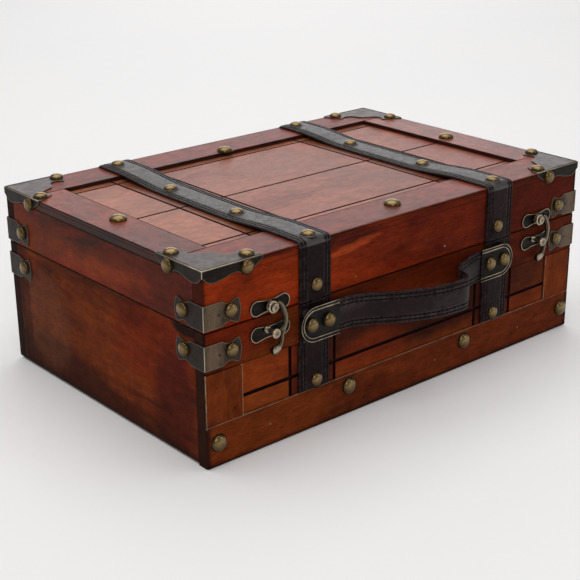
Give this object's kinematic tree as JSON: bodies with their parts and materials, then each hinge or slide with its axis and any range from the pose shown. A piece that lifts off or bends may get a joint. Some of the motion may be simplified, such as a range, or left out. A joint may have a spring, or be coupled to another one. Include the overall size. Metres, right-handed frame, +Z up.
{
  "type": "wooden treasure chest",
  "caption": "Flat wooden travelling chest with a hinged lid, framed top and front, leather straps, corner fittings, swing-hook latches and a leather handle.",
  "frame": {"origin": "centre of the underside of the case", "axes": "+X to the right along the front, +Y towards the back, +Z up; the handle and latches are on the -Y face"},
  "size_m": [0.326, 0.2451, 0.1244],
  "materials": {
    "base_wood": "stained and varnished, red-brown, worn edges",
    "lid_wood": "stained and varnished, orange-red",
    "top_wood": "stained and varnished, pinkish brown with a soft sheen",
    "leather": "embossed dark brown, satin",
    "bronze": "antique bronze plated sheet steel, brushed",
    "dark_steel": "dark antique plating with bright rims",
    "nail_brass": "antique brass"
  },
  "bodies": {
    "base": {"base_bottom_panel": "base_wood", "base_front_board": "base_wood", "base_back_board": "base_wood", "base_left_board": "base_wood", "base_right_board": "base_wood", "base_front_top_rail": "base_wood", "base_front_bottom_rail": "base_wood", "base_front_stile_left": "base_wood", "base_front_stile_right": "base_wood", "base_bracket_front_left": "bronze", "base_bracket_front_right": "bronze", "base_bracket_back_left": "bronze", "base_bracket_back_right": "bronze", "base_strap_left": "leather", "base_strap_right": "leather", "base_rail_nail_1": "nail_brass", "base_rail_nail_2": "nail_brass", "base_rail_nail_3": "nail_brass", "base_rail_nail_4": "nail_brass", "latch_catch_left": "dark_steel", "latch_catch_right": "dark_steel", "handle_plate_left": "bronze", "handle_plate_right": "bronze", "handle_end_left": "leather", "handle_end_right": "leather", "hinge_base_leaf_left": "dark_steel", "hinge_base_leaf_right": "dark_steel", "hinge_pin_left": "dark_steel", "hinge_pin_right": "dark_steel"},
    "lid": {"lid_top_panel": "top_wood", "lid_front_board": "lid_wood", "lid_back_board": "lid_wood", "lid_left_board": "lid_wood", "lid_right_board": "lid_wood", "lid_top_front_rail": "top_wood", "lid_top_back_rail": "top_wood", "lid_top_left_stile": "top_wood", "lid_top_right_stile": "top_wood", "lid_corner_cap_front_left": "bronze", "lid_corner_cap_front_right": "bronze", "lid_corner_cap_back_left": "bronze", "lid_corner_cap_back_right": "bronze", "lid_bracket_front_left": "bronze", "lid_bracket_front_right": "bronze", "lid_bracket_back_left": "bronze", "lid_bracket_back_right": "bronze", "lid_strap_left": "leather", "lid_strap_right": "leather", "lid_top_nail_left": "nail_brass", "lid_top_nail_right": "nail_brass", "lid_top_nail_front": "nail_brass", "lid_top_nail_back": "nail_brass", "latch_plate_left": "dark_steel", "latch_plate_right": "dark_steel", "hinge_lid_leaf_left": "dark_steel", "hinge_lid_leaf_right": "dark_steel"},
    "latch_hook_left": {"latch_hook_left": "dark_steel"},
    "latch_hook_right": {"latch_hook_right": "dark_steel"},
    "handle": {"handle_bow": "leather"}
  },
  "joints": [
    {"name": "lid_hinge", "type": "hinge", "parent": "base", "child": "lid", "pos_m": [0, 0.1076, 0.08375], "axis": [-1, 0, 0], "range_deg": [0, 105]},
    {"name": "latch_hook_left", "type": "hinge", "parent": "lid", "child": "latch_hook_left", "pos_m": [-0.1138, -0.105, 0.0888], "axis": [0, -1, 0], "range_deg": [0, 32]},
    {"name": "latch_hook_right", "type": "hinge", "parent": "lid", "child": "latch_hook_right", "pos_m": [0.119, -0.105, 0.0888], "axis": [0, -1, 0], "range_deg": [0, 32]},
    {"name": "handle_flex", "type": "hinge", "parent": "base", "child": "handle", "pos_m": [-0.0024, -0.1087, 0.07], "axis": [1, 0, 0], "range_deg": [-30, 30]}
  ]
}
